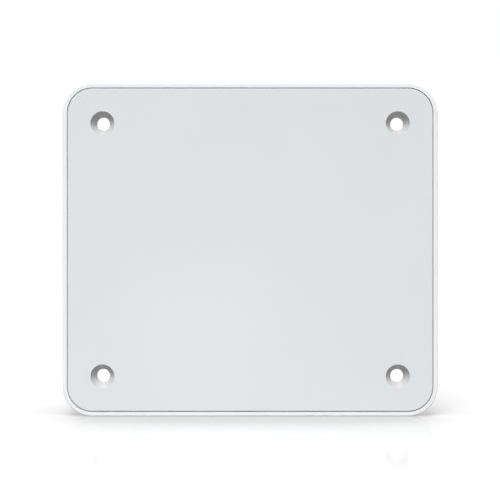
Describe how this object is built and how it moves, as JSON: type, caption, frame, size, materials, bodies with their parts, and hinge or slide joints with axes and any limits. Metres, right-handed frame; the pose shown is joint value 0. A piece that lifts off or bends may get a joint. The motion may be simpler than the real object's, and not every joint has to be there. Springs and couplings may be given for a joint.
{
  "type": "ceiling access point",
  "caption": "Flush ceiling access point: thin screw-on flange with an inset rectangular front panel, and a finned housing with a network socket behind it.",
  "frame": {"origin": "centre of the four ceiling screw holes, on the flange's back face", "axes": "+X to the right of the face, +Z towards its top, +Y into the ceiling; the face looks along -Y"},
  "size_m": [0.16, 0.0428, 0.142],
  "materials": {
    "white_plastic": "satin moulded plastic",
    "panel_plastic": "smooth satin-gloss light grey, radio-transparent",
    "tape": "white bonding tape",
    "foam_rubber": "closed-cell foam",
    "silicone": "moulded silicone",
    "cast_housing": "powder-coated die casting",
    "brass": "turned",
    "zinc_steel": "zinc plated",
    "aluminium_sheet": "rolled sheet",
    "antenna_brass": "stamped sheet",
    "gold_contact": "gold plated",
    "board_laminate": "solder-masked glass laminate",
    "tinned_steel": "tin plated sheet",
    "thermal_pad": "soft filled silicone",
    "chip_black": "moulded epoxy",
    "ferrite": "pressed ferrite",
    "coil_tape": "polyester-taped winding",
    "can_aluminium": "drawn can",
    "chip_tan": "sintered body",
    "lens_white": "milky clear acrylic",
    "black_plastic": "glass-filled nylon",
    "bay_plastic": "fine-textured moulded plastic",
    "button_plastic": "moulded plastic",
    "ground_green": "green chromated steel"
  },
  "bodies": {
    "access_point": {"trim_frame": "white_plastic", "front_panel": "panel_plastic", "panel_tape": "tape", "ceiling_gasket": "foam_rubber", "rear_housing": "cast_housing", "housing_seal": "silicone", "frame_inserts": "brass", "housing_screws": "zinc_steel", "antenna_plate": "aluminium_sheet", "plate_spacers": "brass", "plate_screws": "zinc_steel", "low_band_antenna_left": "antenna_brass", "low_band_antenna_right": "antenna_brass", "high_band_antenna_left": "antenna_brass", "high_band_antenna_right": "antenna_brass", "feed_pins": "gold_contact", "main_board": "board_laminate", "board_screws": "zinc_steel", "left_shield_frame": "tinned_steel", "right_shield_frame": "tinned_steel", "left_shield_lid": "tinned_steel", "right_shield_lid": "tinned_steel", "shield_pads": "thermal_pad", "left_radio_chip": "chip_black", "right_radio_chip": "chip_black", "amplifier_chips": "chip_black", "processor": "chip_black", "processor_pad": "thermal_pad", "memory_chips": "chip_black", "flash_chip": "chip_black", "network_chip": "chip_black", "power_chip": "chip_black", "transformer_core": "ferrite", "transformer_coil": "coil_tape", "line_transformer": "chip_black", "inductors": "ferrite", "capacitors": "can_aluminium", "crystals": "tinned_steel", "chip_capacitors": "chip_tan", "status_led": "lens_white", "light_guide": "lens_white", "jack_body": "black_plastic", "jack_shield": "tinned_steel", "jack_contacts": "gold_contact", "jack_lights": "lens_white", "port_bay": "bay_plastic", "bay_seal": "foam_rubber", "hinge_pin": "zinc_steel", "reset_switch": "black_plastic", "tether_bracket": "zinc_steel", "ground_screw": "ground_green"},
    "port_cover": {"port_cover": "bay_plastic"},
    "reset_button": {"reset_button": "button_plastic", "switch_plunger": "lens_white"}
  },
  "joints": [
    {"name": "port_cover_hinge", "type": "hinge", "parent": "access_point", "child": "port_cover", "pos_m": [0, 0.0248, -0.0075], "axis": [1, 0, 0], "range_deg": [0, 105]},
    {"name": "reset_press", "type": "slide", "parent": "access_point", "child": "reset_button", "axis": [0, 0, 1], "range_m": [0, 0.0005], "stiffness_N_per_m": 2000, "springref_m": -0.0005}
  ]
}
